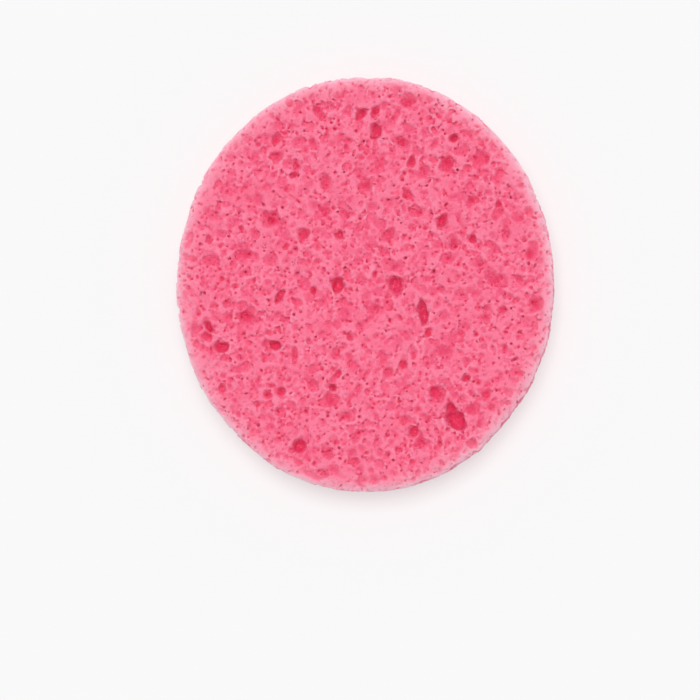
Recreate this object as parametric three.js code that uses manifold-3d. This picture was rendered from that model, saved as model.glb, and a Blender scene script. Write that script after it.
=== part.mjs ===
// Cellulose facial sponge: one oval pad, die-cut from a slab of open-pored cellulose foam.
// Millimetres, +Z up. The origin is the middle of the underside, and +Y runs along the
// longer axis of the oval.
import * as THREE from "three";
import { mergeVertices } from "three/addons/utils/BufferGeometryUtils.js";
import Module from "manifold-3d";

// Pad
const LENGTH = 80;
const WIDTH = 72.6;
const THICKNESS = 10;
const EDGE_RADIUS = 2.2;
const EDGE_STEPS = 4;
const OUTLINE_STEPS = 40;
const WALL_SHARE_LEAST = 0.1;

// Pores of the underside and of the side wall
const UNDERSIDE_PORES = 60;
const WALL_PORES = 40;
const PORE_LENGTH_LEAST = 1.2;
const PORE_LENGTH_MOST = 4.2;
const PORE_DEPTH_MOST = 2.4;

// A pore's least and most width as shares of its length, and depth as shares of its width.
const PORE_WIDTH_SHARES = [0.5, 0.9];
const PORE_DEPTH_SHARES = [0.5, 1];

// A pore is a bubble that the knife has opened a little above its middle.
const BUBBLE_MIDDLE_BELOW_FACE = 0.12;
const WIDE_PORE = 2.3;
const WIDE_PORE_SIDES = 9;
const NARROW_PORE_SIDES = 6;
const PORE_RINGS = 4;

// A prime base for each value of a pore keeps its place, sizes and turn independent.
const BASE = { reach: 2, height: 2, angle: 3, length: 5, width: 7, turn: 11, depth: 13 };

const FOAM_PINK = 0xf26989;
const FOAM_ROUGHNESS = 0.95;

// The upper face's pores that stand out. Each row is a place, as shares of the half width
// and the half length, then the opening's length and width, its turn in degrees from +X,
// and its depth.
const UPPER_PORES = [
  // Far end
  [-0.113, 0.928, 1.6, 0.7, 68, 1.3],
  [0.23, 0.885, 2.5, 2.0, 25, 1.5],
  [-0.255, 0.85, 2.2, 1.3, -70, 1.5],
  [-0.232, 0.817, 1.4, 0.8, -75, 1.7],
  [0.055, 0.838, 2.2, 1.2, 70, 2.3],
  [-0.02, 0.828, 2.2, 1.7, 60, 1.9],
  [0.058, 0.747, 2.8, 2.0, 85, 1.9],
  [-0.478, 0.707, 2.6, 1.6, 65, 2.0],
  [0.475, 0.705, 1.4, 1.1, 25, 2.2],
  [-0.285, 0.695, 1.3, 1.0, 80, 1.2],
  [0.2, 0.69, 2.9, 1.9, -15, 1.2],
  [-0.475, 0.625, 2.6, 2.1, -20, 0.9],
  [0.615, 0.6, 3.6, 3.0, -10, 0.9],
  [0.25, 0.595, 1.9, 1.0, 80, 1.8],
  [0.437, 0.582, 2.6, 2.1, 60, 2.0],
  [0.085, 0.58, 2.5, 1.6, -70, 0.8],
  [-0.37, 0.578, 1.9, 1.1, -70, 1.1],
  [0.3, 0.545, 3.0, 2.4, 25, 0.9],
  [0.715, 0.537, 1.8, 1.4, 70, 1.1],
  [-0.385, 0.53, 1.3, 1.0, 30, 2.0],
  // Upper middle
  [-0.21, 0.495, 3.1, 1.7, 88, 1.5],
  [0.0, 0.475, 2.5, 2.1, 60, 1.0],
  [0.222, 0.435, 2.1, 1.6, -60, 1.5],
  [0.57, 0.405, 2.6, 1.9, 15, 1.2],
  [-0.22, 0.36, 3.0, 2.4, 10, 0.7],
  [0.27, 0.352, 2.5, 1.8, 10, 0.8],
  [0.71, 0.35, 2.6, 1.6, 75, 1.2],
  [-0.11, 0.335, 3.6, 1.9, 80, 0.9],
  [0.82, 0.32, 2.0, 1.6, 80, 1.2],
  [-0.5, 0.315, 3.4, 2.5, -50, 2.0],
  [0.41, 0.307, 2.8, 1.8, 75, 2.0],
  [-0.665, 0.277, 0.9, 0.8, 0, 2.4],
  [-0.328, 0.24, 2.5, 1.8, 65, 1.5],
  [0.125, 0.238, 2.8, 2.4, -50, 0.9],
  [-0.137, 0.237, 1.8, 1.6, 80, 1.7],
  [-0.838, 0.225, 1.4, 1.0, -75, 1.1],
  [0.572, 0.217, 1.3, 1.1, 60, 1.7],
  [0.47, 0.195, 2.9, 2.5, 30, 0.9],
  [0.408, 0.19, 1.5, 0.7, -70, 1.8],
  [-0.427, 0.185, 1.3, 0.9, 65, 1.8],
  [-0.645, 0.148, 4.4, 3.2, -15, 1.2],
  [0.885, 0.143, 2.3, 2.0, 60, 1.1],
  [0.445, 0.125, 2.3, 2.0, 0, 1.0],
  [-0.833, 0.12, 2.0, 1.6, 0, 1.0],
  [0.172, 0.085, 2.5, 1.9, 15, 1.0],
  [0.053, 0.048, 1.3, 0.9, 85, 2.2],
  [0.725, 0.03, 1.3, 0.8, -55, 1.7],
  [0.7, 0.015, 3.6, 2.6, -20, 1.1],
  // Lower middle
  [-0.147, -0.003, 2.6, 2.0, 75, 2.8],
  [0.158, -0.005, 3.6, 3.2, 40, 1.2],
  [-0.275, -0.03, 1.5, 1.1, 85, 1.8],
  [-0.455, -0.058, 3.3, 1.2, 63, 1.9],
  [-0.225, -0.08, 1.6, 1.0, 85, 1.1],
  [-0.378, -0.08, 1.6, 0.7, -42, 1.2],
  [-0.74, -0.09, 1.6, 1.5, 0, 1.3],
  [0.905, -0.1, 4.0, 2.4, 85, 1.0],
  [0.05, -0.118, 3.4, 2.8, 10, 0.8],
  [0.73, -0.13, 1.5, 1.2, 60, 1.2],
  [0.31, -0.14, 4.4, 1.7, 95, 2.4],
  [-0.635, -0.155, 4.2, 3.2, -70, 0.8],
  [-0.735, -0.165, 2.0, 1.7, 70, 1.1],
  [-0.835, -0.205, 2.5, 1.2, -55, 2.2],
  [0.335, -0.237, 1.7, 1.0, 75, 1.6],
  [-0.847, -0.25, 2.1, 1.6, -60, 1.4],
  [-0.083, -0.253, 1.5, 0.9, -62, 2.0],
  [-0.53, -0.287, 1.5, 1.3, 30, 1.2],
  [-0.48, -0.295, 2.0, 1.7, -5, 2.4],
  [-0.768, -0.303, 2.5, 1.8, -10, 2.4],
  [0.745, -0.315, 1.6, 1.0, 85, 1.2],
  [0.41, -0.33, 5.0, 2.8, 10, 0.8],
  [-0.38, -0.34, 3.0, 1.2, 88, 1.6],
  [-0.155, -0.34, 1.9, 1.6, 60, 1.1],
  [0.205, -0.393, 1.6, 1.4, 60, 1.7],
  [-0.68, -0.412, 2.8, 1.2, 5, 0.9],
  [0.123, -0.43, 1.7, 1.5, 0, 1.2],
  [-0.148, -0.437, 2.2, 0.9, 45, 1.7],
  [0.54, -0.462, 1.6, 1.4, -30, 1.8],
  [-0.505, -0.49, 1.9, 1.1, -5, 1.4],
  // Near end
  [-0.175, -0.5, 1.5, 1.2, -60, 1.9],
  [-0.765, -0.505, 1.6, 1.3, 90, 1.4],
  [-0.45, -0.523, 1.6, 1.5, 0, 1.7],
  [0.39, -0.53, 3.4, 2.2, -58, 2.2],
  [-0.52, -0.537, 1.7, 1.4, -30, 1.8],
  [0.645, -0.538, 2.0, 1.4, 80, 1.6],
  [-0.185, -0.565, 4.1, 2.5, -8, 1.6],
  [0.46, -0.6, 2.2, 1.5, -65, 2.4],
  [0.575, -0.605, 2.4, 2.0, 30, 1.1],
  [0.485, -0.655, 4.0, 2.9, -58, 3.2],
  [0.21, -0.662, 1.7, 1.3, 20, 1.2],
  [0.262, -0.715, 1.6, 1.3, 80, 2.2],
  [-0.04, -0.735, 2.4, 2.0, 40, 0.8],
  [0.295, -0.765, 4.0, 2.8, 100, 0.9],
  [0.395, -0.77, 1.5, 0.8, 90, 1.3],
  [0.572, -0.775, 2.3, 1.4, -5, 1.1],
  [-0.352, -0.783, 2.9, 2.2, 75, 2.4],
  [-0.207, -0.815, 2.8, 1.7, -70, 1.4],
  [-0.06, -0.857, 2.1, 1.3, -5, 1.2],
  [-0.22, -0.915, 2.5, 1.2, -20, 1.2],
];

const halfLength = LENGTH / 2;
const halfWidth = WIDTH / 2;

// The two roundings leave a strip of upright wall between them, however thin the pad.
const edgeRadius = Math.min(EDGE_RADIUS, ((1 - WALL_SHARE_LEAST) * THICKNESS) / 2);
const wallHeight = THICKNESS - 2 * edgeRadius;

const up = new THREE.Vector3(0, 0, 1);
const down = new THREE.Vector3(0, 0, -1);

const wasm = await Module();
wasm.setup();

function solidFrom(geometry) {
  geometry.deleteAttribute("normal");
  geometry.deleteAttribute("uv");
  const welded = mergeVertices(geometry);
  return new wasm.Manifold(
    new wasm.Mesh({
      numProp: 3,
      vertProperties: welded.getAttribute("position").array,
      triVerts: new Uint32Array(welded.index.array),
    }),
  );
}

function geometryFrom(solid) {
  const { vertProperties, triVerts } = solid.getMesh();
  const geometry = new THREE.BufferGeometry();
  geometry.setAttribute("position", new THREE.BufferAttribute(vertProperties, 3));
  geometry.setIndex(new THREE.BufferAttribute(triVerts, 1));
  geometry.computeVertexNormals();
  return geometry;
}

// The whole pad before its pores open: an oval slab with both edges rounded over.
function padBlank() {
  const outline = new THREE.Shape();
  outline.absellipse(0, 0, halfWidth - edgeRadius, halfLength - edgeRadius, 0, 2 * Math.PI);
  const slab = new THREE.ExtrudeGeometry(outline, {
    depth: wallHeight,
    bevelThickness: edgeRadius,
    bevelSize: edgeRadius,
    bevelSegments: EDGE_STEPS,
    curveSegments: OUTLINE_STEPS,
  });
  return solidFrom(slab.translate(0, 0, edgeRadius));
}

// A term of the Halton sequence, which spreads places and sizes evenly between 0 and 1.
function spread(index, base) {
  let share = 0;
  let step = 1 / base;
  for (let rest = index; rest > 0; rest = Math.floor(rest / base)) {
    share += step * (rest % base);
    step /= base;
  }
  return share;
}

// How far the rounded edge has dropped from the face at a place on the pad.
function edgeDrop(x, y) {
  const reach = Math.hypot(x / halfWidth, y / halfLength);
  const inFromEdge = (1 - reach) * Math.min(halfWidth, halfLength);
  const intoRounding = Math.max(0, edgeRadius - inFromEdge);
  return edgeRadius - Math.sqrt(edgeRadius ** 2 - Math.min(intoRounding, edgeRadius) ** 2);
}

// One bubble, opened on a surface whose outward direction is given.
function bubble({ mouth, outward, length, width, turn, depth }) {
  const sides = width > WIDE_PORE ? WIDE_PORE_SIDES : NARROW_PORE_SIDES;
  const shape = new THREE.SphereGeometry(1, sides, PORE_RINGS);
  shape.rotateX(Math.PI / 2);
  shape.scale(length / 2, width / 2, depth);
  shape.rotateZ(THREE.MathUtils.degToRad(turn));
  shape.applyQuaternion(new THREE.Quaternion().setFromUnitVectors(up, outward));
  const middle = mouth.clone().addScaledVector(outward, -BUBBLE_MIDDLE_BELOW_FACE);
  shape.translate(...middle);
  return solidFrom(shape);
}

function upperPores() {
  return UPPER_PORES.map(([across, along, length, width, turn, depth]) => {
    const x = across * halfWidth;
    const y = along * halfLength;
    const mouth = new THREE.Vector3(x, y, THICKNESS - edgeDrop(x, y));
    return bubble({ mouth, outward: up, length, width, turn, depth });
  });
}

// Small pores are many and large ones few, because the share is squared.
function spreadSizes(index) {
  const { lerp } = THREE.MathUtils;
  const length = lerp(PORE_LENGTH_LEAST, PORE_LENGTH_MOST, spread(index, BASE.length) ** 2);
  const width = length * lerp(...PORE_WIDTH_SHARES, spread(index, BASE.width));
  const turn = 180 * spread(index, BASE.turn);
  const depth = width * lerp(...PORE_DEPTH_SHARES, spread(index, BASE.depth));
  return { length, width, turn, depth: Math.min(depth, PORE_DEPTH_MOST) };
}

function undersidePores() {
  return Array.from({ length: UNDERSIDE_PORES }, (_, n) => {
    const reach = Math.sqrt(spread(n + 1, BASE.reach));
    const angle = 2 * Math.PI * spread(n + 1, BASE.angle);
    const x = reach * (halfWidth - edgeRadius) * Math.cos(angle);
    const y = reach * (halfLength - edgeRadius) * Math.sin(angle);
    const mouth = new THREE.Vector3(x, y, 0);
    return bubble({ mouth, outward: down, ...spreadSizes(n + 1) });
  });
}

function wallPores() {
  return Array.from({ length: WALL_PORES }, (_, n) => {
    const angle = 2 * Math.PI * spread(n + 1, BASE.angle);
    const height = edgeRadius + wallHeight * spread(n + 1, BASE.height);
    const x = halfWidth * Math.cos(angle);
    const y = halfLength * Math.sin(angle);
    const mouth = new THREE.Vector3(x, y, height);
    const outward = new THREE.Vector3(x / halfWidth ** 2, y / halfLength ** 2, 0).normalize();
    return bubble({ mouth, outward, ...spreadSizes(n + 1) });
  });
}

const pores = [...upperPores(), ...undersidePores(), ...wallPores()];
const pad = pores.reduce((foam, pore) => foam.subtract(pore), padBlank());

const foam = new THREE.MeshStandardMaterial({
  color: FOAM_PINK,
  roughness: FOAM_ROUGHNESS,
  metalness: 0,
});
const spongePad = new THREE.Mesh(geometryFrom(pad), foam);
spongePad.name = "sponge_pad";

const sponge = new THREE.Group();
sponge.name = "cellulose_facial_sponge";
sponge.add(spongePad);

export default sponge;
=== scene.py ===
"""Looks of the cellulose facial sponge: an oval pad of open-pored pink foam, lying on a pale floor.

The foam is worked out as a field on a grid, in millimetres: the rounded pad, less every bubble
that the cut has opened. Its surface becomes one closed mesh, in metres, in the frame of the
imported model.
"""
import math
from typing import NamedTuple
import bpy
import numpy as np
from mathutils import Matrix, Vector


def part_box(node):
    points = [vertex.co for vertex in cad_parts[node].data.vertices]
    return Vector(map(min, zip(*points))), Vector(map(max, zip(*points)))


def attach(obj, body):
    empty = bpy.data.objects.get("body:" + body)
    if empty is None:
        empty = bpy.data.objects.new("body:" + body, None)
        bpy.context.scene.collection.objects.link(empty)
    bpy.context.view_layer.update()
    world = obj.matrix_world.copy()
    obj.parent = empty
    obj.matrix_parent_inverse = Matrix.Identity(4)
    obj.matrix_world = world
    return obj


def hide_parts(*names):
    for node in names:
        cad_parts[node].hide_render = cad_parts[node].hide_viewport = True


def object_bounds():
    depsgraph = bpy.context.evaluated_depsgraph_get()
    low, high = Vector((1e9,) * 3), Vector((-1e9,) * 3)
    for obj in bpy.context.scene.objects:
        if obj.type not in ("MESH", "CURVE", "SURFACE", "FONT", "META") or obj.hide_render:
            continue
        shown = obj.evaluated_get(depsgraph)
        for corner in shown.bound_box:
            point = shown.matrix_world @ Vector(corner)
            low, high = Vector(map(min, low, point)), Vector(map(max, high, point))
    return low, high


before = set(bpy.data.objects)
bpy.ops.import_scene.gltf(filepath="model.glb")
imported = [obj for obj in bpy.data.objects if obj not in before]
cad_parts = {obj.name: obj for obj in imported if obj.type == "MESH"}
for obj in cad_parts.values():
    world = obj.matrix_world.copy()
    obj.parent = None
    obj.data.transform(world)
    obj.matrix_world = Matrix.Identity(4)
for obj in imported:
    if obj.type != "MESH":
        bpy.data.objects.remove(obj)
CAD_LOW, CAD_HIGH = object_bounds()

MM = 0.001
NODE = "sponge_pad"
SLOT = "cellulose_foam"
SEED = 20

# Pad, in millimetres
PAD_LOW, PAD_HIGH = (np.array(corner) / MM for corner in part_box(NODE))
HALF_X, HALF_Y, HALF_Z = (PAD_HIGH - PAD_LOW) / 2
MIDDLE_Z = (PAD_HIGH[2] + PAD_LOW[2]) / 2
EDGE_RADIUS = 2.2
OUTLINE_WAVES = {3: 0.10, 5: 0.12, 8: 0.10, 13: 0.08, 21: 0.05}
OUTLINE_GROWTH = 0.25
MEAN_WEAR = 0.14
WEAR_CELL = 3.0
GRAIN_DEPTH = 0.05
GRAIN_CELL = 0.5

# Grid
VOXEL = 0.2
GRID_MARGIN = 1.2
SAFE_CORE = 4.2
FILL_DEPTH = VOXEL / 2
SLOPE_STEP = 0.05
TINY = 1e-6
TINY_STRETCH = 1e-4
NEAR_Y_AXIS = 0.9


class Layer(NamedTuple):
    """Bubbles of one kind, cut open all over the pad: spacing, range of radii and range of depths."""

    spacing: float
    least: float
    most: float
    shallow: float
    deep: float


DISHES = Layer(spacing=4.5, least=1.0, most=2.0, shallow=0.35, deep=0.90)
BUBBLES = Layer(spacing=1.15, least=0.40, most=1.35, shallow=0.20, deep=0.75)
SMALL_BUBBLES = Layer(spacing=0.8, least=0.25, most=0.50, shallow=0.12, deep=0.50)
OTHER_PORES = Layer(spacing=3.0, least=0.25, most=1.30, shallow=0.7, deep=1.8)
PITS = Layer(spacing=2.0, least=0.20, most=0.36, shallow=0.5, deep=1.2)
PIT_LEAN = 0.5
FINE_PORES = 16000
FINE_PORE_RADII = (0.15, 0.30)
FINE_PORE_SCATTER = 0.10
SMALL_ONES_FAVOURED = 1.6
BUBBLE_BLEND = 0.07
BUBBLE_STRETCH = 0.35
BUBBLE_BELOW_FACE = 0.12
UPPER_FACE_FROM = 0.7
EDGE_RISE = (0.05, 0.97)
EDGE_DEPTH_SHARE = 0.65
EDGE_PORES_LEFT = 0.6
PORE_DEPTH_SHARE = 1.05
PORE_DEPTH_ADDED = 0.15
PORE_DEPTH_LIMIT = 1.6
WARPS = ((1.3, 0.22), (0.6, 0.08))
WARP_REACH = sum(size for _, size in WARPS)


class PoreForm(NamedTuple):
    """The form of an upper pore.

    Undercut is how far its middle lies below the face, or above it if less than 0, as a share of its
    depth. Bulge is its width against its opening's, and blend is the rounding of its lip.
    """

    undercut: float
    bulge: float
    blend: float


HOLE_FORM = PoreForm(undercut=-0.1, bulge=1.22, blend=0.50)
DISH_FORM = PoreForm(undercut=-0.5, bulge=1.06, blend=0.4)
DISH_BELOW = 0.5
ROUGH_WIDTH = 1.5
ROUGH_RANGE = (0.8, 2.2)


class Cluster(NamedTuple):
    """The small bubbles that break up a pore's lip or floor.

    They are so many to a square millimetre and lie between the pore's middle at 0 and its lip at 1.
    Their widths and depths are shares of the pore's own.
    """

    number: float
    nearest: float
    farthest: float
    least: float
    most: float
    shallow: float
    deep: float


AT_LIP = Cluster(
    number=0.9, nearest=0.75, farthest=1.0, least=0.25, most=0.50, shallow=0.40, deep=0.80
)
ON_FLOOR = Cluster(
    number=0.8, nearest=0.0, farthest=0.55, least=0.30, most=0.60, shallow=0.90, deep=1.40
)
CLUSTER_LIMITS = (2, 8)
MAIN_DEPTH = 0.9

# The oval that the upper pores' places are shares of: its middle and half sizes on the upper face
PORE_MIDDLE = (0.23, -0.18)
PORE_HALVES = (35.96, 39.54)

# The upper face's pores that stand out. Each row is a place in that oval, then the opening's length
# and width, its turn in degrees from +X, and its depth.
UPPER_PORES = (
    (-0.113, 0.928, 1.6, 0.7, 68, 1.3),
    (0.230, 0.885, 2.6, 2.2, 25, 1.1),
    (-0.255, 0.850, 2.2, 1.3, -70, 1.5),
    (-0.232, 0.817, 1.4, 0.8, -75, 1.7),
    (0.055, 0.838, 2.2, 1.2, 70, 2.3),
    (-0.020, 0.828, 2.2, 1.7, 60, 1.9),
    (0.058, 0.747, 2.8, 2.0, 85, 1.9),
    (-0.478, 0.707, 2.4, 1.5, 65, 1.4),
    (0.475, 0.705, 1.6, 1.3, 25, 2.2),
    (-0.285, 0.695, 1.3, 1.0, 80, 1.2),
    (0.200, 0.690, 2.9, 1.9, -15, 1.0),
    (-0.475, 0.625, 2.6, 2.1, -20, 0.9),
    (0.615, 0.600, 3.6, 3.0, -10, 0.8),
    (0.250, 0.595, 2.3, 1.3, 80, 1.8),
    (0.437, 0.582, 2.6, 2.1, 60, 2.0),
    (0.085, 0.580, 2.5, 1.6, -70, 0.8),
    (-0.370, 0.578, 1.9, 1.1, -70, 1.1),
    (0.300, 0.545, 3.0, 2.4, 25, 0.9),
    (0.715, 0.537, 1.8, 1.4, 70, 0.7),
    (-0.385, 0.530, 1.3, 1.0, 30, 2.0),
    (-0.210, 0.497, 2.7, 1.6, 88, 1.3),
    (0.000, 0.475, 2.5, 2.1, 60, 1.0),
    (0.222, 0.435, 2.1, 1.6, -60, 1.5),
    (0.570, 0.405, 2.6, 1.9, 15, 1.2),
    (-0.220, 0.360, 3.0, 2.4, 10, 1.0),
    (0.270, 0.352, 2.5, 1.8, 10, 0.8),
    (0.710, 0.350, 2.6, 1.6, 75, 0.7),
    (-0.110, 0.335, 3.6, 1.9, 80, 0.8),
    (0.820, 0.320, 2.0, 1.6, 80, 0.7),
    (-0.505, 0.317, 3.0, 2.6, -50, 1.5),
    (0.410, 0.307, 2.5, 1.6, 75, 2.0),
    (-0.665, 0.277, 0.9, 0.8, 0, 2.4),
    (-0.328, 0.240, 2.5, 1.8, 65, 1.5),
    (0.125, 0.238, 2.8, 2.4, -50, 0.9),
    (-0.137, 0.237, 1.8, 1.6, 80, 1.7),
    (-0.838, 0.225, 1.4, 1.0, -75, 1.1),
    (0.572, 0.217, 1.3, 1.1, 60, 1.7),
    (0.470, 0.195, 2.9, 2.5, 30, 0.9),
    (0.408, 0.190, 1.5, 0.7, -70, 1.8),
    (-0.427, 0.185, 1.3, 0.9, 65, 1.8),
    (-0.645, 0.148, 4.4, 3.2, -15, 0.9),
    (0.885, 0.143, 2.3, 2.0, 60, 1.1),
    (0.445, 0.125, 2.3, 2.0, 0, 1.0),
    (-0.833, 0.120, 2.0, 1.6, 0, 1.0),
    (0.172, 0.085, 2.5, 1.9, 15, 1.0),
    (0.053, 0.048, 1.3, 0.9, 85, 2.2),
    (0.725, 0.030, 1.3, 0.8, -55, 1.7),
    (0.700, 0.015, 3.6, 2.6, -20, 0.8),
    (-0.147, -0.003, 2.6, 2.0, 75, 2.8),
    (0.158, -0.005, 3.6, 3.2, 40, 1.2),
    (-0.275, -0.030, 1.5, 1.1, 85, 1.8),
    (-0.455, -0.058, 3.0, 1.1, 63, 1.9),
    (-0.225, -0.080, 1.6, 1.0, 85, 1.1),
    (-0.378, -0.080, 1.6, 0.7, -42, 1.2),
    (-0.740, -0.090, 1.4, 1.3, 0, 1.0),
    (0.905, -0.100, 4.0, 2.4, 85, 1.0),
    (0.050, -0.118, 3.4, 2.8, 10, 0.8),
    (0.730, -0.130, 1.5, 1.2, 60, 1.2),
    (0.310, -0.140, 4.4, 1.7, 95, 2.4),
    (-0.635, -0.155, 4.2, 3.2, -70, 1.1),
    (-0.735, -0.165, 1.7, 1.5, 70, 0.9),
    (-0.835, -0.205, 2.5, 1.2, -55, 2.2),
    (0.335, -0.237, 1.7, 1.0, 75, 1.6),
    (-0.847, -0.250, 2.1, 1.6, -60, 1.4),
    (-0.083, -0.253, 1.4, 0.9, -80, 2.0),
    (-0.530, -0.287, 1.5, 1.3, 30, 1.2),
    (-0.480, -0.295, 2.0, 1.7, -5, 2.4),
    (-0.768, -0.303, 2.5, 1.8, -10, 2.4),
    (0.745, -0.315, 1.6, 1.0, 85, 1.2),
    (0.410, -0.330, 5.0, 2.8, 10, 0.7),
    (-0.380, -0.340, 2.8, 1.2, 88, 1.2),
    (-0.155, -0.340, 1.9, 1.6, 60, 1.1),
    (0.205, -0.393, 1.6, 1.4, 60, 1.7),
    (-0.680, -0.412, 2.8, 1.2, 5, 0.9),
    (0.123, -0.430, 1.7, 1.5, 0, 1.2),
    (-0.148, -0.437, 1.7, 0.9, 45, 1.7),
    (0.535, -0.458, 1.5, 1.1, 20, 1.8),
    (-0.505, -0.490, 1.4, 0.8, -5, 1.2),
    (-0.175, -0.500, 1.5, 1.2, -60, 1.9),
    (-0.765, -0.505, 1.6, 1.3, 90, 1.4),
    (-0.450, -0.523, 1.6, 1.5, 0, 1.7),
    (0.388, -0.530, 3.2, 2.1, -58, 1.8),
    (-0.520, -0.537, 1.6, 1.3, -30, 1.4),
    (0.645, -0.538, 2.0, 1.4, 80, 1.6),
    (-0.185, -0.565, 3.6, 2.4, -8, 1.1),
    (0.460, -0.600, 2.2, 1.5, -65, 2.4),
    (0.575, -0.605, 2.4, 2.0, 30, 1.1),
    (0.485, -0.655, 4.0, 2.9, -58, 3.2),
    (0.210, -0.662, 1.7, 1.3, 20, 1.2),
    (0.262, -0.715, 1.7, 1.4, 80, 2.2),
    (-0.040, -0.735, 2.4, 2.0, 40, 0.8),
    (0.295, -0.765, 4.0, 2.8, 100, 0.9),
    (0.395, -0.770, 1.5, 0.8, 90, 1.3),
    (0.572, -0.775, 2.3, 1.4, -5, 1.1),
    (-0.352, -0.783, 2.5, 2.0, 75, 2.4),
    (-0.207, -0.815, 2.8, 1.7, -70, 1.0),
    (-0.060, -0.857, 2.1, 1.3, -5, 1.2),
    (-0.220, -0.915, 2.5, 1.2, -20, 1.2),
    (-0.255, 0.782, 0.9, 0.5, 90, 1.4),
    (-0.140, 0.870, 1.1, 0.6, 55, 0.9),
    (-0.080, 0.565, 1.2, 0.6, 90, 0.8),
    (0.215, 0.960, 1.4, 0.9, 0, 0.7),
    (0.375, 0.680, 1.2, 1.0, 90, 0.7),
    (0.310, 0.645, 1.3, 0.5, 85, 0.8),
    (0.170, 0.830, 1.3, 1.0, 80, 0.7),
    (0.585, 0.515, 1.2, 0.9, 10, 0.8),
    (0.535, 0.665, 1.3, 0.9, 90, 0.8),
    (-0.700, -0.005, 0.9, 0.6, 80, 0.9),
    (-0.775, 0.190, 1.2, 0.7, 60, 0.9),
    (-0.640, 0.055, 1.8, 1.0, 10, 0.7),
    (-0.295, 0.055, 1.0, 0.6, -60, 1.4),
    (0.365, 0.060, 0.9, 0.6, 80, 0.9),
    (0.530, 0.175, 0.9, 0.6, 85, 0.9),
    (0.615, 0.435, 1.0, 0.5, 90, 0.9),
    (0.755, 0.240, 2.0, 1.6, 90, 0.7),
    (0.700, 0.165, 1.8, 1.8, 0, 0.7),
    (-0.900, -0.285, 1.5, 0.9, 85, 0.7),
    (-0.915, -0.210, 2.8, 1.2, 90, 0.7),
    (-0.570, -0.460, 1.6, 0.8, 85, 0.9),
    (-0.120, -0.090, 1.3, 1.3, 0, 0.7),
    (-0.020, -0.205, 1.6, 1.6, 0, 0.7),
    (-0.300, -0.275, 1.4, 0.7, 85, 0.9),
    (-0.030, -0.495, 0.9, 0.6, 90, 1.4),
    (-0.080, -0.380, 2.2, 1.8, 80, 0.7),
    (-0.230, -0.230, 0.9, 0.5, 35, 0.9),
    (-0.280, -0.480, 2.2, 2.2, 0, 0.7),
    (0.405, -0.030, 1.3, 1.3, 0, 0.7),
    (0.260, -0.340, 1.7, 0.9, 90, 0.7),
    (0.650, -0.165, 2.2, 1.8, 0, 0.7),
    (-0.450, -0.615, 1.6, 1.6, 0, 0.7),
    (-0.090, -0.645, 2.6, 2.2, 10, 0.7),
    (-0.030, -0.960, 1.6, 1.0, 90, 0.8),
    (0.340, -0.655, 1.3, 0.7, 60, 1.4),
    (0.180, -0.800, 1.4, 0.7, 0, 0.9),
    (0.055, -0.950, 1.4, 1.2, 0, 0.8),
    (0.670, -0.600, 1.5, 1.1, 0, 0.9),
    (0.610, -0.675, 1.3, 0.7, 85, 0.9),
)

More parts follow.
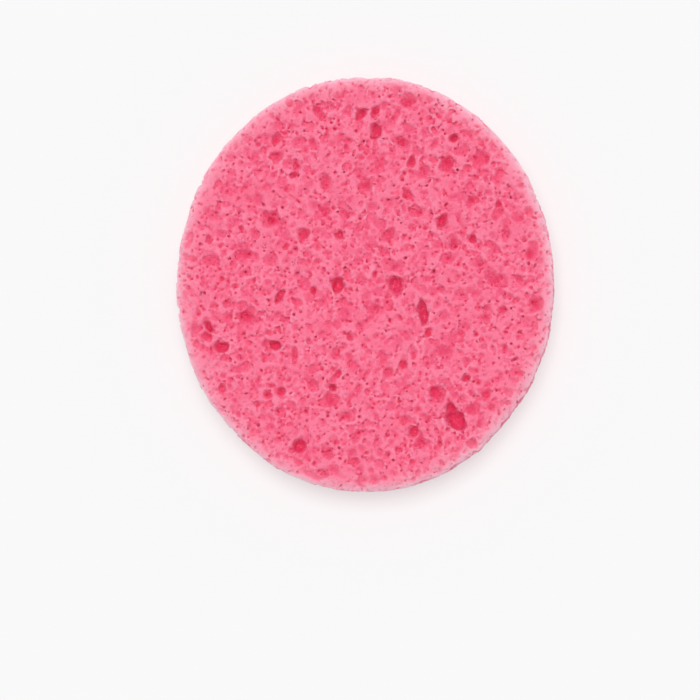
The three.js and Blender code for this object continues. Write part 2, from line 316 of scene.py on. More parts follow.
# The upper face's smaller pores: a place in the same oval, the opening's width, and its depth.
SMALL_UPPER_PORES = (
    (-0.575, 0.683, 0.7, 0.9),
    (-0.605, 0.615, 0.6, 0.9),
    (-0.535, 0.660, 0.6, 0.9),
    (-0.160, 0.755, 0.7, 0.9),
    (-0.130, 0.725, 0.6, 1.4),
    (-0.090, 0.700, 0.6, 0.9),
    (-0.045, 0.740, 0.6, 0.9),
    (-0.050, 0.550, 0.6, 1.4),
    (-0.090, 0.525, 0.5, 0.9),
    (0.040, 0.925, 0.6, 0.9),
    (0.135, 0.915, 0.6, 0.9),
    (0.115, 0.705, 0.5, 1.4),
    (0.210, 0.535, 0.7, 1.4),
    (0.240, 0.545, 0.7, 0.9),
    (0.197, 0.507, 0.7, 1.4),
    (0.450, 0.785, 0.7, 0.9),
    (0.350, 0.845, 0.5, 0.9),
    (0.635, 0.545, 0.5, 1.4),
    (0.645, 0.505, 0.6, 0.9),
    (0.650, 0.580, 0.5, 0.9),
    (-0.770, 0.027, 0.8, 1.4),
    (-0.738, 0.015, 0.6, 0.9),
    (-0.780, 0.075, 0.6, 0.9),
    (-0.690, 0.340, 0.5, 0.9),
    (-0.680, 0.420, 0.6, 0.9),
    (-0.595, 0.020, 0.7, 0.9),
    (-0.720, 0.440, 0.5, 0.9),
    (-0.310, 0.025, 0.5, 1.4),
    (-0.265, 0.215, 0.6, 0.9),
    (-0.290, 0.425, 0.5, 0.9),
    (-0.170, 0.375, 0.5, 0.9),
    (-0.185, 0.275, 0.6, 0.9),
    (-0.395, 0.150, 0.6, 0.9),
    (-0.375, 0.205, 0.6, 0.9),
    (-0.030, 0.265, 0.6, 0.9),
    (-0.140, 0.095, 0.6, 0.9),
    (-0.065, 0.348, 0.5, 0.9),
    (-0.450, 0.275, 0.8, 0.9),
    (-0.420, 0.465, 0.9, 0.9),
    (-0.225, 0.070, 0.6, 0.9),
    (0.100, 0.280, 0.6, 1.4),
    (0.142, 0.008, 0.8, 1.8),
    (0.250, 0.175, 0.7, 0.9),
    (0.240, 0.225, 0.6, 0.9),
    (0.497, 0.093, 0.7, 1.4),
    (0.070, 0.370, 0.6, 0.9),
    (0.515, 0.435, 0.5, 1.4),
    (0.350, 0.355, 0.5, 0.9),
    (0.335, 0.215, 0.5, 0.9),
    (0.575, 0.285, 0.5, 1.4),
    (0.535, 0.265, 0.5, 0.9),
    (0.648, 0.185, 0.7, 0.9),
    (0.710, 0.385, 1.0, 1.4),
    (0.742, 0.420, 0.5, 0.9),
    (0.670, 0.405, 0.5, 0.9),
    (0.718, 0.445, 0.6, 0.9),
    (0.750, 0.272, 0.7, 0.9),
    (0.890, 0.193, 0.5, 0.9),
    (0.755, 0.095, 0.8, 0.9),
    (0.660, 0.035, 1.3, 0.9),
    (0.610, 0.095, 1.0, 0.9),
    (0.820, 0.025, 1.3, 0.9),
    (0.680, 0.110, 0.5, 0.9),
    (0.640, 0.100, 0.5, 0.9),
    (-0.805, -0.200, 0.5, 0.9),
    (-0.895, -0.143, 0.7, 1.4),
    (-0.668, -0.317, 0.6, 0.9),
    (-0.515, -0.462, 0.5, 0.9),
    (-0.490, -0.015, 0.5, 1.4),
    (-0.078, -0.095, 0.7, 0.9),
    (-0.168, -0.415, 0.6, 0.9),
    (-0.440, -0.155, 0.5, 0.9),
    (-0.410, -0.170, 0.5, 0.9),
    (0.125, -0.060, 0.9, 0.9),
    (0.450, -0.287, 0.6, 0.9),
    (0.330, -0.355, 0.7, 1.4),
    (0.330, -0.385, 0.7, 1.4),
    (0.160, -0.475, 0.5, 0.9),
    (0.190, -0.170, 0.7, 0.9),
    (0.510, -0.240, 1.3, 0.9),
    (0.140, -0.340, 0.5, 0.9),
    (0.590, -0.245, 0.8, 0.9),
    (0.748, -0.235, 0.7, 1.4),
    (0.742, -0.065, 0.5, 0.9),
    (0.605, -0.475, 1.0, 0.9),
    (0.540, -0.375, 1.2, 0.9),
    (0.590, -0.420, 0.9, 0.9),
    (0.825, -0.435, 1.2, 0.9),
    (0.715, -0.155, 0.5, 0.9),
    (0.735, -0.165, 0.5, 0.9),
    (0.650, -0.190, 0.5, 0.9),
    (0.615, -0.190, 0.5, 0.9),
    (0.785, -0.375, 0.5, 0.9),
    (-0.315, -0.620, 0.8, 0.9),
    (-0.200, -0.622, 0.6, 1.4),
    (-0.270, -0.868, 0.7, 1.4),
    (-0.135, -0.843, 0.6, 0.9),
    (-0.300, -0.740, 0.5, 0.9),
    (-0.035, -0.895, 0.5, 0.9),
    (-0.155, -0.765, 0.9, 0.9),
    (0.535, -0.685, 0.6, 1.4),
    (0.255, -0.860, 1.0, 0.9),
    (0.120, -0.825, 1.0, 0.9),
    (0.060, -0.755, 0.6, 1.4),
    (0.285, -0.605, 0.8, 0.9),
    (0.080, -0.915, 0.5, 0.9),
    (0.595, -0.620, 0.5, 0.9),
)

rng = np.random.default_rng(SEED)


def smoothstep(share):
    return share * share * (3 - 2 * share)


def wall_distance(x, y):
    """How far a point lies in from the pad's slightly wavy outline, as seen from above."""
    reach = np.sqrt((x / HALF_X) ** 2 + (y / HALF_Y) ** 2) + TINY
    slope = np.sqrt((x / HALF_X**2) ** 2 + (y / HALF_Y**2) ** 2) / reach + TINY
    angle = np.arctan2(y, x)
    wave = sum(size * np.sin(n * angle + n * n) for n, size in OUTLINE_WAVES.items())
    return (1 - reach) / slope + OUTLINE_GROWTH - np.abs(wave)


def pad_depth(x, y, z):
    """How far a point lies under the surface of the whole pad, before its pores open."""
    from_face = HALF_Z - np.abs(z - MIDDLE_Z)
    corner_x = EDGE_RADIUS - wall_distance(x, y)
    corner_z = EDGE_RADIUS - from_face
    round_part = np.sqrt(np.maximum(corner_x, 0) ** 2 + np.maximum(corner_z, 0) ** 2)
    flat_part = np.minimum(np.maximum(corner_x, corner_z), 0)
    return EDGE_RADIUS - round_part - flat_part


def pad_outward(points, depth):
    """The outward directions of the whole pad's surface at points, from the slope of its depth."""
    ahead = [pad_depth(*(points + SLOPE_STEP * unit).T) for unit in np.eye(3)]
    slopes = [(value - depth) / SLOPE_STEP for value in ahead]
    outward = -np.stack(slopes, axis=1)
    return outward / np.linalg.norm(outward, axis=1, keepdims=True)


def grid_axes():
    low = PAD_LOW - GRID_MARGIN
    high = PAD_HIGH + GRID_MARGIN
    return [np.arange(a, b, VOXEL, dtype=np.float32) for a, b in zip(low, high)]


def smooth_noise(axes, cell):
    """Random values between -1 and 1 on a coarse lattice, smoothly filled in over the grid."""
    weights = []
    for axis in axes:
        place = (axis - axis[0]) / cell
        index = place.astype(int)
        share = smoothstep(place - index)
        weight = np.zeros((len(axis), index[-1] + 2), np.float32)
        rows = np.arange(len(axis))
        weight[rows, index] = 1 - share
        weight[rows, index + 1] = share
        weights.append(weight)
    values = rng.uniform(-1, 1, [w.shape[1] for w in weights]).astype(np.float32)
    for weight in weights:
        values = np.tensordot(values, weight, axes=(0, 1))
    return values


class Foam:
    """The grid's field: positive in the foam's solid, negative in the air."""

    def __init__(self):
        self.axes = grid_axes()
        self.origin = np.array([axis[0] for axis in self.axes])
        x, y, z = np.meshgrid(*self.axes, indexing="ij", sparse=True)
        self.depth = pad_depth(x, y, z).astype(np.float32)
        worn = MEAN_WEAR * (1 + smooth_noise(self.axes, WEAR_CELL))
        self.field = self.depth - worn
        self.warp = [
            sum(size * smooth_noise(self.axes, cell) for cell, size in WARPS) for _ in range(3)
        ]

    def carve(self, centre, radii, basis, blend=BUBBLE_BLEND, rough=1.0):
        """Takes one bubble out of the field. The rows of basis are the bubble's own axes."""
        reach = max(radii) + 2 * blend + rough * WARP_REACH
        spans = []
        for axis, middle in zip(self.axes, centre):
            first, last = np.searchsorted(axis, (middle - reach, middle + reach))
            if first >= last:
                return
            spans.append(slice(first, last))
        spans = tuple(spans)
        steps = (axis[span] - middle for axis, span, middle in zip(self.axes, spans, centre))
        away = np.meshgrid(*steps, indexing="ij", sparse=True)
        away = [step + rough * warp[spans] for step, warp in zip(away, self.warp)]
        stretched = sum(
            ((row[0] * away[0] + row[1] * away[1] + row[2] * away[2]) / radius) ** 2
            for row, radius in zip(basis, radii)
        )
        stretched = np.sqrt(stretched) + TINY_STRETCH
        outside = np.sqrt(sum(part * part for part in away)) * (1 - 1 / stretched)
        block = self.field[spans]
        near = np.maximum(blend - np.abs(block - outside), 0) / blend
        self.field[spans] = np.minimum(block, outside) - near * near * blend / 4


def turned_basis(normal, turn):
    """Three axes, the last along normal, the first two turned about it."""
    normal = normal / np.linalg.norm(normal)
    helper = np.array((0.0, 1.0, 0.0)) if abs(normal[1]) < NEAR_Y_AXIS else np.array((1.0, 0.0, 0.0))
    first = np.cross(helper, normal)
    first /= np.linalg.norm(first)
    second = np.cross(normal, first)
    c, s = math.cos(turn), math.sin(turn)
    return np.array((c * first + s * second, c * second - s * first, normal))


def open_upper_bubble(foam, x, y, length, width, basis, depth):
    """One bubble that opens in the upper face: a hole, or a dish if it is shallow for its width."""
    depth = min(PORE_DEPTH_SHARE * depth + PORE_DEPTH_ADDED, PORE_DEPTH_LIMIT * width)
    form = DISH_FORM if depth < DISH_BELOW * width else HOLE_FORM
    centre = (x, y, PAD_HIGH[2] - form.undercut * depth)
    radii = (form.bulge * length / 2, form.bulge * width / 2, (1 - form.undercut) * depth)
    rough = np.clip(width / ROUGH_WIDTH, *ROUGH_RANGE)
    foam.carve(centre, radii, basis, form.blend, rough)


def open_cluster(foam, cluster, x, y, length, width, basis, depth):
    for _ in range(int(np.clip(cluster.number * length * width, *CLUSTER_LIMITS))):
        angle = rng.uniform(0, 2 * math.pi)
        out = rng.uniform(cluster.nearest, cluster.farthest) / 2
        step = out * length * math.cos(angle) * basis[0] + out * width * math.sin(angle) * basis[1]
        size = width * rng.uniform(cluster.least, cluster.most)
        share = rng.uniform(cluster.shallow, cluster.deep)
        open_upper_bubble(foam, x + step[0], y + step[1], size, size, basis, share * depth)


def open_upper_pores(foam):
    for across, along, length, width, turn, depth in UPPER_PORES:
        x = PORE_MIDDLE[0] + across * PORE_HALVES[0]
        y = PORE_MIDDLE[1] + along * PORE_HALVES[1]
        angle = math.radians(turn)
        c, s = math.cos(angle), math.sin(angle)
        basis = np.array(((c, s, 0), (-s, c, 0), (0, 0, 1)))
        open_upper_bubble(foam, x, y, length, width, basis, MAIN_DEPTH * depth)
        for cluster in (AT_LIP, ON_FLOOR):
            open_cluster(foam, cluster, x, y, length, width, basis, depth)
    for across, along, width, depth in SMALL_UPPER_PORES:
        x = PORE_MIDDLE[0] + across * PORE_HALVES[0]
        y = PORE_MIDDLE[1] + along * PORE_HALVES[1]
        open_upper_bubble(foam, x, y, width, width, np.eye(3), depth)


def surface_places(spacing):
    """Points on the whole pad's surface, about one to a square of spacing, and its outward directions."""
    margin = spacing / 2
    steps = [np.arange(a - margin, b + margin, spacing) for a, b in zip(PAD_LOW, PAD_HIGH)]
    lattice = np.stack(np.meshgrid(*steps, indexing="ij"), axis=-1).reshape(-1, 3)
    points = lattice + rng.uniform(0, spacing, lattice.shape)
    points = points[np.abs(pad_depth(*points.T)) < spacing / 2]
    depth = pad_depth(*points.T)
    outward = pad_outward(points, depth)
    return points + depth[:, None] * outward, outward


def on_edge(normals):
    """Whether outward directions belong to the upper rounded edge, which is worn smoother."""
    rise = normals[..., 2]
    return (rise > EDGE_RISE[0]) & (rise < EDGE_RISE[1])


def open_layer(foam, layer):
    points, normals = surface_places(layer.spacing)
    count = len(points)
    share = rng.uniform(0, 1, count) ** SMALL_ONES_FAVOURED
    radii = layer.least * (layer.most / layer.least) ** share
    depths = np.minimum(rng.uniform(layer.shallow, layer.deep, count), radii)
    depths = np.where(on_edge(normals), EDGE_DEPTH_SHARE * depths, depths)
    turns = rng.uniform(0, math.pi, count)
    shapes = rng.uniform(1 - BUBBLE_STRETCH, 1 + BUBBLE_STRETCH, (count, 2))
    centres = points + normals * (radii - depths)[:, None]
    for centre, normal, radius, turn, shape in zip(centres, normals, radii, turns, shapes):
        foam.carve(centre, (radius * shape[0], radius * shape[1], radius), turned_basis(normal, turn))


def open_other_pores(foam):
    """Deeper pores on the wall and the underside, as the upper face has them."""
    points, normals = surface_places(OTHER_PORES.spacing)
    for point, normal in zip(points, normals):
        share = rng.uniform() ** SMALL_ONES_FAVOURED
        radius = OTHER_PORES.least * (OTHER_PORES.most / OTHER_PORES.least) ** share
        shape = rng.uniform(1 - BUBBLE_STRETCH, 1 + BUBBLE_STRETCH)
        depth = rng.uniform(OTHER_PORES.shallow, OTHER_PORES.deep)
        turn = rng.uniform(0, math.pi)
        if normal[2] < UPPER_FACE_FROM and not on_edge(normal):
            centre = point - normal * BUBBLE_BELOW_FACE
            foam.carve(centre, (radius * shape, radius / shape, depth), turned_basis(normal, turn))


def open_pits(foam):
    points, normals = surface_places(PITS.spacing)
    for point, normal in zip(points, normals):
        radius = rng.uniform(PITS.least, PITS.most)
        depth = rng.uniform(PITS.shallow, PITS.deep)
        lean = normal + rng.uniform(-PIT_LEAN, PIT_LEAN, 3)
        if not on_edge(normal) or rng.uniform() < EDGE_PORES_LEFT:
            foam.carve(point, (radius, radius, depth), turned_basis(lean, 0.0))


def open_fine_pores(foam):
    """Small pores on every surface that is open so far, also inside the larger pores."""
    points, _ = surface_of(foam.field)
    places = points * VOXEL + foam.origin
    chosen = places[rng.integers(0, len(places), FINE_PORES)]
    chosen = chosen + rng.normal(0, FINE_PORE_SCATTER, chosen.shape)
    radii = rng.uniform(*FINE_PORE_RADII, FINE_PORES)
    outward = pad_outward(chosen, pad_depth(*chosen.T))
    kept = ~on_edge(outward) | (rng.uniform(size=FINE_PORES) < EDGE_PORES_LEFT)
    for centre, radius in zip(chosen[kept], radii[kept]):
        foam.carve(centre, (radius, radius, radius), np.eye(3))


def spread_through(mask, start):
    """The part of mask that can be reached from start."""
    reached = start & mask
    count = 0
    while True:
        grown = reached.copy()
        for axis in range(3):
            ahead = tuple(slice(1, None) if k == axis else slice(None) for k in range(3))
            behind = tuple(slice(None, -1) if k == axis else slice(None) for k in range(3))
            grown[ahead] |= reached[behind]
            grown[behind] |= reached[ahead]
        reached = grown & mask
        total = int(reached.sum())
        if total == count:
            return reached
        count = total


def join_up(foam):
    """Drops crumbs that hang on nothing, and fills hollows that open nowhere."""
    solid = foam.field > 0
    kept = spread_through(solid, foam.depth > SAFE_CORE)
    foam.field[solid & ~kept] *= -1
    air = foam.field <= 0
    opened = spread_through(air, foam.depth < 0)
    foam.field[air & ~opened] = FILL_DEPTH


def box_blur(values, radius):
    """A moving average over a cube of the grid."""
    width = 2 * radius + 1
    for axis in range(3):
        padding = [(radius + 1, radius) if k == axis else (0, 0) for k in range(3)]
        sums = np.cumsum(np.pad(values, padding, mode="edge"), axis=axis, dtype=np.float64)
        ahead = tuple(slice(width, None) if k == axis else slice(None) for k in range(3))
        behind = tuple(slice(None, -width) if k == axis else slice(None) for k in range(3))
        values = ((sums[ahead] - sums[behind]) / width).astype(np.float32)
    return values


# Values on the surface that its colours follow
FINE_BLUR = 1
WIDE_BLUR = 4
DEPTH_RANGE = 3.0
WALL_BELOW = 0.5
# Band along the rim where pale sheen is painted into the colour
RIM_WIDTH = 4.2
RIM_FALL = 1.4
RIM_CORE_WIDTH = 1.4
RIM_CORE = 0.35
RIM_ON_WALL = 0.25

# Flat map of the surface, as shares of its side
MAP_NAME = "OFBake"
MAP_MARGIN = 0.01
MAP_HALF = 0.5
MAP_FACE = (0.48, 0.53)
MAP_WALL = (0.96, 0.16)
MAP_WALL_ROWS = (0.60, 0.80)

CORNERS = np.array([(i, j, k) for i in (0, 1) for j in (0, 1) for k in (0, 1)])
CELL_EDGES = [
    (a, b) for a in range(8) for b in range(a + 1, 8) if np.abs(CORNERS[a] - CORNERS[b]).sum() == 1
]


def surface_of(field):
    """The field's zero surface: points in grid steps, one in each cell it crosses, and quads."""
    inside = field > 0
    nx, ny, nz = (n - 1 for n in field.shape)
    count = sum(inside[i : i + nx, j : j + ny, k : k + nz].astype(np.int8) for i, j, k in CORNERS)
    cells = np.argwhere((count > 0) & (count < 8))
    number = np.full((nx, ny, nz), -1, np.int64)
    number[tuple(cells.T)] = np.arange(len(cells))
    values = np.stack([field[tuple((cells + corner).T)] for corner in CORNERS], axis=1)
    total = np.zeros((len(cells), 3))
    crossings = np.zeros(len(cells))
    for a, b in CELL_EDGES:
        crossed = (values[:, a] > 0) != (values[:, b] > 0)
        share = values[crossed, a] / (values[crossed, a] - values[crossed, b])
        total[crossed] += CORNERS[a] + share[:, None] * (CORNERS[b] - CORNERS[a])
        crossings[crossed] += 1
    points = cells + total / crossings[:, None]
    quads = [quads_across(inside, number, axis) for axis in range(3)]
    return points, np.vstack(quads)


def quads_across(inside, number, axis):
    """One quad round each grid step along axis that leaves or enters the solid."""
    step, side, other = np.roll(np.eye(3, dtype=int), -axis, axis=0)
    first = inside[tuple(slice(0, n - s) for n, s in zip(inside.shape, step))]
    second = inside[tuple(slice(s, n) for n, s in zip(inside.shape, step))]
    edges = np.argwhere(first != second)
    leaving = first[tuple(edges.T)]
    ring = [edges, edges - side, edges - side - other, edges - other]
    ring = np.stack([number[tuple(cell.T)] for cell in ring], axis=1)
    ring[~leaving] = ring[~leaving, ::-1]
    return ring


def sample(values, points):
    """A grid's values at points in grid steps, to the nearest step."""
    index = np.clip(np.rint(points).astype(int), 0, np.array(values.shape) - 1)
    return values[tuple(index.T)]


def make_foam():
    foam = Foam()
    open_layer(foam, DISHES)
    open_layer(foam, BUBBLES)
    open_layer(foam, SMALL_BUBBLES)
    open_upper_pores(foam)
    open_other_pores(foam)
    open_pits(foam)
    open_fine_pores(foam)
    foam.field += GRAIN_DEPTH * smooth_noise(foam.axes, GRAIN_CELL)
    join_up(foam)
    return foam


def add_values(mesh, name, values):
    attribute = mesh.attributes.new(name, "FLOAT", "POINT")
    attribute.data.foreach_set("value", values.astype(np.float32))


def facing_share(outward):
    """1 where the whole pad faces up or down, falling to 0 on its wall."""
    return np.clip(np.abs(outward[:, 2]) / WALL_BELOW, 0, 1)


def rim_sheen_share(places, outward):
    """How much pale sheen of the fuzz is painted into the colour: most on the upper rounded edge, less on
    the wall and further in.
    """
    inward = wall_distance(places[:, 0], places[:, 1])
    wide = np.clip(1 - inward / RIM_WIDTH, 0, 1) ** RIM_FALL
    narrow = np.clip(1 - inward / RIM_CORE_WIDTH, 0, 1)
    near_edge = (1 - RIM_CORE) * wide + RIM_CORE * narrow
    upward = np.clip(outward[:, 2] / WALL_BELOW, 0, 1)
    return near_edge * (RIM_ON_WALL + (1 - RIM_ON_WALL) * upward)


def add_map(mesh, places, outward, quads):
    """Lays the upper face, the underside and the two halves of the wall out on one flat map."""
    corners = places[quads]
    facing = outward[quads, 2].mean(axis=1)
    share = (corners - PAD_LOW) / (PAD_HIGH - PAD_LOW)
    on_face = MAP_MARGIN + share[..., :2] * MAP_FACE
    on_face[facing < 0, :, 0] += MAP_HALF
    angle = np.arctan2(*corners.mean(axis=1)[:, 1::-1].T)
    turn = np.arctan2(corners[..., 1], corners[..., 0]) - angle[:, None]
    turn = (turn + math.pi) % (2 * math.pi) - math.pi
    along = (angle[:, None] % math.pi + turn) / math.pi
    row = np.where(angle < 0, *MAP_WALL_ROWS)
    on_wall = np.stack((along, share[..., 2]), axis=-1) * MAP_WALL
    on_wall += np.stack((np.full_like(row, 2 * MAP_MARGIN), row), axis=-1)[:, None]
    is_wall = np.abs(facing) < UPPER_FACE_FROM
    spots = np.where(is_wall[:, None, None], on_wall, on_face)
    layer = mesh.uv_layers.new(name=MAP_NAME)
    layer.data.foreach_set("uv", spots.astype(np.float32).ravel())


def make_foam_mesh():
    foam = make_foam()
    points, quads = surface_of(foam.field)
    places = points * VOXEL + foam.origin
    mesh = bpy.data.meshes.new("sponge_foam")
    mesh.from_pydata(places * MM, [], quads)
    mesh.shade_smooth()
    filled = np.clip(foam.field / VOXEL + 0.5, 0, 1)
    fine = box_blur(box_blur(filled, FINE_BLUR), FINE_BLUR)
    wide = box_blur(box_blur(filled, WIDE_BLUR), WIDE_BLUR)
    depth = pad_depth(*places.T)
    outward = pad_outward(places, depth)
    # Values that set where shade and highlights are painted into the colour, and where sheen is painted
    # along the rim
    add_values(mesh, "fine_hollow", sample(fine, points))
    add_values(mesh, "wide_hollow", sample(wide, points))
    add_values(mesh, "depth", depth / DEPTH_RANGE)
    add_values(mesh, "rim", rim_sheen_share(places, outward))
    add_values(mesh, "facing", facing_share(outward))
    add_map(mesh, places, outward, quads)
    return mesh


def srgb(red, green, blue):
    """A colour as seen, from 0 to 255, in the linear values that shaders use."""
    shares = np.array((red, green, blue)) / 255
    linear = np.where(shares <= 0.04045, shares / 12.92, ((shares + 0.055) / 1.055) ** 2.4)
    return (*map(float, linear), 1.0)


# Foam colours: the foam's own pink, painted shade that darkens it into hollows, pores and pits, and painted
# highlights and sheen on ridges, lips and the rim
LIP_HIGHLIGHT_PINK = srgb(252, 165, 188)
RIDGE_HIGHLIGHT_PINK = srgb(251, 141, 170)
FACE_PINK = srgb(250, 124, 155)
HOLLOW_SHADE_PINK = srgb(241, 101, 137)
TONE_PINK = srgb(240, 88, 127)
DEEP_SHADE_CRIMSON = srgb(224, 52, 99)
PIT_SHADE_CRIMSON = srgb(224, 48, 94)
RIM_SHEEN_PINK = srgb(255, 200, 215)
PORE_SHADE_MAUVE = srgb(204, 74, 108)
FIBRE_PINK = srgb(255, 172, 192)
SHEEN_PINK = srgb(255, 232, 238)
GRAIN_TINT = (0.97, 0.95, 0.955, 1.0)

# Stops along a value of the surface or a pattern: where each lies, and the colour or share there
# Painted shade and highlight by depth: paler at the surface, darker pink deeper in the pores
SHADE_BY_DEPTH = [(0.0, RIDGE_HIGHLIGHT_PINK), (0.10, FACE_PINK), (0.24, HOLLOW_SHADE_PINK)]
# Painted shade in broad hollows
SHADE_IN_WIDE_HOLLOWS = [(0.50, 0.0), (0.72, 0.75)]
# Painted highlight on broad rises, fine ridges and sharp lips
HIGHLIGHT_ON_RISES = [(0.34, 0.6), (0.47, 0.0)]
HIGHLIGHT_ON_RIDGES = [(0.25, 0.5), (0.50, 0.0)]
HIGHLIGHT_ON_LIPS = [(0.24, 0.5), (0.40, 0.0)]
# Painted shade: deep crimson in deep pores and concave pits
SHADE_IN_DEEP_PORES = [(0.26, 0.0), (0.58, 0.8)]
SHADE_IN_PITS = [(0.60, 0.0), (0.78, 0.8)]
IN_TONES = [(0.44, 0.0), (0.66, 0.35)]
SHEEN_ON_RIM = [(0.0, 0.0), (0.95, 0.95)]
RIM_SHEEN_BY_DEPTH = [(0.03, 1.0), (0.20, 0.5)]
BY_GRAIN = [(0.30, GRAIN_TINT), (0.70, 1.0)]
# Painted shade of pores too small to model: dark mauve dots
PORE_SHADE_IN_SPECKS = [(0.10, 0.4), (0.22, 0.0)]
ON_FIBRES = [(0.485, 0.0), (0.50, 0.35), (0.515, 0.0)]
SHEEN_BY_DEPTH = [(0.06, 1.0), (0.16, 0.0)]
SHEEN_BY_FACING = [(0.0, 0.25), (1.0, 1.0)]
ROUGHNESS_BY_FUZZ = [(0.3, 0.80), (0.7, 1.0)]

# Patterns in the colour: sizes of their cells, and how much finer detail they have
TONE_CELL = 5.0
TINT_CELL = 0.5
SPECK_CELL = 1.0
FIBRE_CELL = 1.3
FUZZ_CELL = 0.22
LITTLE_DETAIL = 2.0
MORE_DETAIL = 3.0

# Surface of the foam, lengths in millimetres
FUZZ_DEPTH = 0.06
LIGHT_REACH = 0.45
SCATTER_SHARE = 0.7
SCATTER_REACHES = (1.0, 0.4, 0.5)
SPECULAR_LEVEL = 0.02
SHEEN_ROUGHNESS = 0.4

# Places of the colour mix node's sockets
MIX_SHARE = 0
MIX_BELOW = 6
MIX_ABOVE = 7
MIX_RESULT = 2


class Shading:
    """Short ways to add the nodes that the foam's colour is made of."""

    def __init__(self, material):
        self.nodes = material.node_tree.nodes
        self.links = material.node_tree.links
        self.shader = self.nodes["Principled BSDF"]
        self.place = self.nodes.new("ShaderNodeTexCoord").outputs["Object"]

    def attribute(self, name):
        node = self.nodes.new("ShaderNodeAttribute")
        node.attribute_name = name
        return node.outputs["Fac"]

    def ramp(self, value, stops):
        """Colours or greys along value: stops are pairs of a position and a colour or grey."""
        node = self.nodes.new("ShaderNodeValToRGB")
        elements = node.color_ramp.elements
        while len(elements) < len(stops):
            elements.new(0.5)
        for element, (position, colour) in zip(elements, stops):
            element.position = position
            element.color = colour if isinstance(colour, tuple) else (colour, colour, colour, 1.0)
        self.links.new(value, node.inputs["Fac"])
        return node.outputs["Color"]

    def blend(self, share, below, above, how="MIX"):
        """Mixes two colours. Each may be a node's output or a fixed colour."""
        node = self.nodes.new("ShaderNodeMix")
        node.data_type = "RGBA"
        node.blend_type = how
        for socket, source in ((MIX_SHARE, share), (MIX_BELOW, below), (MIX_ABOVE, above)):
            if isinstance(source, (tuple, float)):
                node.inputs[socket].default_value = source
            else:
                self.links.new(source, node.inputs[socket])
        return node.outputs[MIX_RESULT]

    def noise(self, cell, detail):
        node = self.nodes.new("ShaderNodeTexNoise")
        node.inputs["Scale"].default_value = 1 / (cell * MM)
        node.inputs["Detail"].default_value = detail
        self.links.new(self.place, node.inputs["Vector"])
        return node.outputs["Fac"]

    def bump(self, height, depth):
        node = self.nodes.new("ShaderNodeBump")
        node.inputs["Distance"].default_value = depth * MM
        self.links.new(height, node.inputs["Height"])
        return node.outputs["Normal"]

    def dots(self, cell):
        node = self.nodes.new("ShaderNodeTexVoronoi")
        node.inputs["Scale"].default_value = 1 / (cell * MM)
        self.links.new(self.place, node.inputs["Vector"])
        return node.outputs["Distance"]


def foam_colour(shading):
    """The foam's colour: painted shade deeper in its hollows, pores and pits, painted highlights on its
    ridges and lips and painted sheen on the rim, then broken up by fine patterns and dots of painted shade.
    """
    depth = shading.attribute("depth")
    fine = shading.attribute("fine_hollow")
    wide = shading.attribute("wide_hollow")
    # Painted shade by depth and in the wide hollows
    colour = shading.ramp(depth, SHADE_BY_DEPTH)
    colour = shading.blend(shading.ramp(wide, SHADE_IN_WIDE_HOLLOWS), colour, HOLLOW_SHADE_PINK)
    # Painted highlights on rises, ridges and lips
    colour = shading.blend(shading.ramp(wide, HIGHLIGHT_ON_RISES), colour, RIDGE_HIGHLIGHT_PINK)
    colour = shading.blend(shading.ramp(fine, HIGHLIGHT_ON_RIDGES), colour, RIDGE_HIGHLIGHT_PINK)
    colour = shading.blend(shading.ramp(fine, HIGHLIGHT_ON_LIPS), colour, LIP_HIGHLIGHT_PINK)
    # Painted shade in deep pores and pits
    colour = shading.blend(shading.ramp(depth, SHADE_IN_DEEP_PORES), colour, DEEP_SHADE_CRIMSON)
    colour = shading.blend(shading.ramp(fine, SHADE_IN_PITS), colour, PIT_SHADE_CRIMSON)
    tones = shading.noise(TONE_CELL, LITTLE_DETAIL)
    colour = shading.blend(shading.ramp(tones, IN_TONES), colour, TONE_PINK)
    # Painted sheen: pale pink along the rounded rim, as grazing light on the fuzz shows it
    rim = shading.ramp(shading.attribute("rim"), SHEEN_ON_RIM)
    rim = shading.blend(1.0, rim, shading.ramp(depth, RIM_SHEEN_BY_DEPTH), "MULTIPLY")
    colour = shading.blend(rim, colour, RIM_SHEEN_PINK)
    grain = shading.noise(TINT_CELL, MORE_DETAIL)
    colour = shading.blend(1.0, colour, shading.ramp(grain, BY_GRAIN), "MULTIPLY")
    # Dots of painted shade for the finest pores
    pore_shade_dots = shading.dots(SPECK_CELL)
    colour = shading.blend(shading.ramp(pore_shade_dots, PORE_SHADE_IN_SPECKS), colour, PORE_SHADE_MAUVE)
    fibres = shading.noise(FIBRE_CELL, LITTLE_DETAIL)
    return shading.blend(shading.ramp(fibres, ON_FIBRES), colour, FIBRE_PINK)


def foam_sheen(shading):
    """The fuzz's pale sheen, which fades in the pores and on the wall."""
    by_depth = shading.ramp(shading.attribute("depth"), SHEEN_BY_DEPTH)
    by_facing = shading.ramp(shading.attribute("facing"), SHEEN_BY_FACING)
    return shading.blend(1.0, by_depth, by_facing, "MULTIPLY")


def foam_material():
    material = bpy.data.materials.new(SLOT)
    material.use_nodes = True
    shading = Shading(material)
    sockets = shading.shader.inputs
    sockets["Specular IOR Level"].default_value = SPECULAR_LEVEL
    sockets["Sheen Roughness"].default_value = SHEEN_ROUGHNESS
    sockets["Sheen Tint"].default_value = SHEEN_PINK
    sockets["Subsurface Weight"].default_value = SCATTER_SHARE
    sockets["Subsurface Radius"].default_value = SCATTER_REACHES
    sockets["Subsurface Scale"].default_value = LIGHT_REACH * MM
    fuzz = shading.noise(FUZZ_CELL, MORE_DETAIL)
    shading.links.new(foam_colour(shading), sockets["Base Color"])
    shading.links.new(foam_sheen(shading), sockets["Sheen Weight"])
    shading.links.new(shading.ramp(fuzz, ROUGHNESS_BY_FUZZ), sockets["Roughness"])
    shading.links.new(shading.bump(fuzz, FUZZ_DEPTH), sockets["Normal"])
    return material


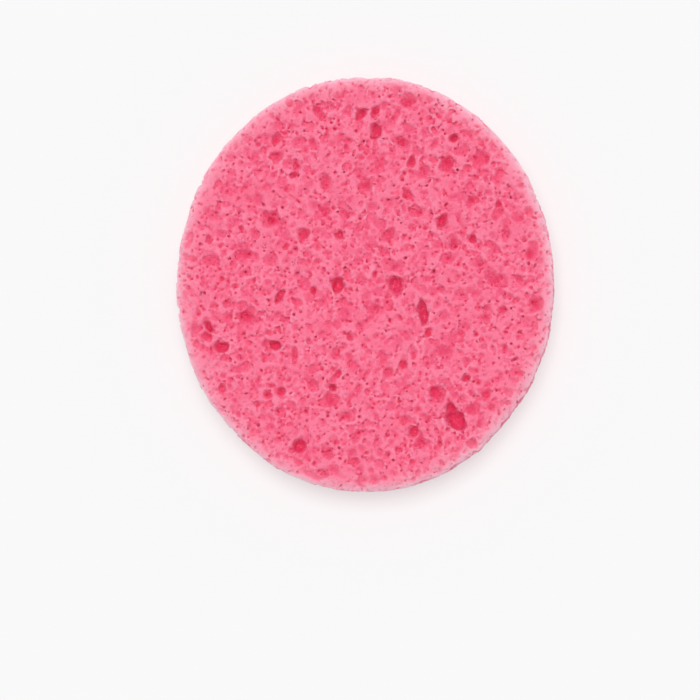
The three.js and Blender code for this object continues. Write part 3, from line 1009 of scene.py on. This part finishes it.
def make_sponge():
    sponge = bpy.data.objects.new("sponge_foam", make_foam_mesh())
    bpy.context.scene.collection.objects.link(sponge)
    sponge.data.materials.append(foam_material())
    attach(sponge, "root")
    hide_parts(NODE)


# Stage
FLOOR_SIDE = 6.0
FLOOR_GREY = 0.41
FLOOR_GLOW = 0.513
FLOOR_ROUGHNESS = 0.8
FLOOR_SPECULAR = 0.1
WHITE = (1.0, 1.0, 1.0, 1.0)


def make_floor():
    half = FLOOR_SIDE / 2
    corners = [(-half, -half, 0), (half, -half, 0), (half, half, 0), (-half, half, 0)]
    mesh = bpy.data.meshes.new("floor")
    mesh.from_pydata(corners, [], [(0, 1, 2, 3)])
    floor = bpy.data.objects.new("floor", mesh)
    bpy.context.scene.collection.objects.link(floor)
    material = bpy.data.materials.new("pale_floor")
    material.use_nodes = True
    shader = material.node_tree.nodes["Principled BSDF"]
    shader.inputs["Base Color"].default_value = (FLOOR_GREY, FLOOR_GREY, FLOOR_GREY, 1)
    shader.inputs["Roughness"].default_value = FLOOR_ROUGHNESS
    shader.inputs["Specular IOR Level"].default_value = FLOOR_SPECULAR
    shader.inputs["Emission Color"].default_value = WHITE
    shader.inputs["Emission Strength"].default_value = FLOOR_GLOW
    mesh.materials.append(material)


# Camera: the picture's width and the middle of the pad's upper face in it, in pixels
PICTURE = 700
FACE_AT = (363.7, 283.1)
PIXELS_PER_MM = 5.225
CAMERA_AWAY = 0.70
CAMERA_ELEVATION = 85.0
CAMERA_SIDE = -23.0
SENSOR = 36.0


def make_camera():
    aim_x = (PICTURE / 2 - FACE_AT[0]) / PIXELS_PER_MM * MM
    aim_y = (FACE_AT[1] - PICTURE / 2) / PIXELS_PER_MM * MM
    aim = Vector((aim_x, aim_y, CAD_HIGH.z))
    up, side = math.radians(CAMERA_ELEVATION), math.radians(CAMERA_SIDE)
    back = Vector((math.cos(up) * math.cos(side), math.cos(up) * math.sin(side), math.sin(up)))
    right = Vector((0, 1, 0)).cross(back).normalized()
    data = bpy.data.cameras.new("camera")
    data.sensor_width = SENSOR
    data.lens = SENSOR * CAMERA_AWAY / (PICTURE / PIXELS_PER_MM * MM)
    camera = bpy.data.objects.new("camera", data)
    turn = Matrix((right, back.cross(right), back)).transposed()
    camera.matrix_world = Matrix.Translation(aim + back * CAMERA_AWAY) @ turn.to_4x4()
    bpy.context.scene.collection.objects.link(camera)
    bpy.context.scene.camera = camera


# Light: the sky's brightness by height, and one wide lamp overhead
SKY_ABOVE = 0.40
SKY_AT_HORIZON = 0.965
SKY_EVEN_FROM = 0.35
SUN_FROM = (0.0, 0.22, 1.0)
SUN_WIDTH = 34.0
SUN_STRENGTH = 2.04


def make_sky():
    """A pale studio all round, brightest at the height of the floor's far edge."""
    world = bpy.data.worlds.new("studio")
    bpy.context.scene.world = world
    world.use_nodes = True
    nodes, links = world.node_tree.nodes, world.node_tree.links
    place = nodes.new("ShaderNodeTexCoord")
    split = nodes.new("ShaderNodeSeparateXYZ")
    ramp = nodes.new("ShaderNodeValToRGB")
    ramp.color_ramp.elements[0].color = (SKY_AT_HORIZON, SKY_AT_HORIZON, SKY_AT_HORIZON, 1)
    ramp.color_ramp.elements[1].color = (SKY_ABOVE, SKY_ABOVE, SKY_ABOVE, 1)
    ramp.color_ramp.elements[1].position = SKY_EVEN_FROM
    links.new(place.outputs["Generated"], split.inputs["Vector"])
    links.new(split.outputs["Z"], ramp.inputs["Fac"])
    links.new(ramp.outputs["Color"], nodes["Background"].inputs["Color"])


def make_light():
    scene = bpy.context.scene
    scene.view_settings.view_transform = "Standard"
    data = bpy.data.lights.new("overhead", "SUN")
    data.angle = math.radians(SUN_WIDTH)
    data.energy = SUN_STRENGTH
    light = bpy.data.objects.new("overhead", data)
    light.rotation_mode = "QUATERNION"
    light.rotation_quaternion = (-Vector(SUN_FROM)).to_track_quat("-Z", "Y")
    scene.collection.objects.link(light)


make_camera()
make_sky()
make_light()
make_floor()
make_sponge()
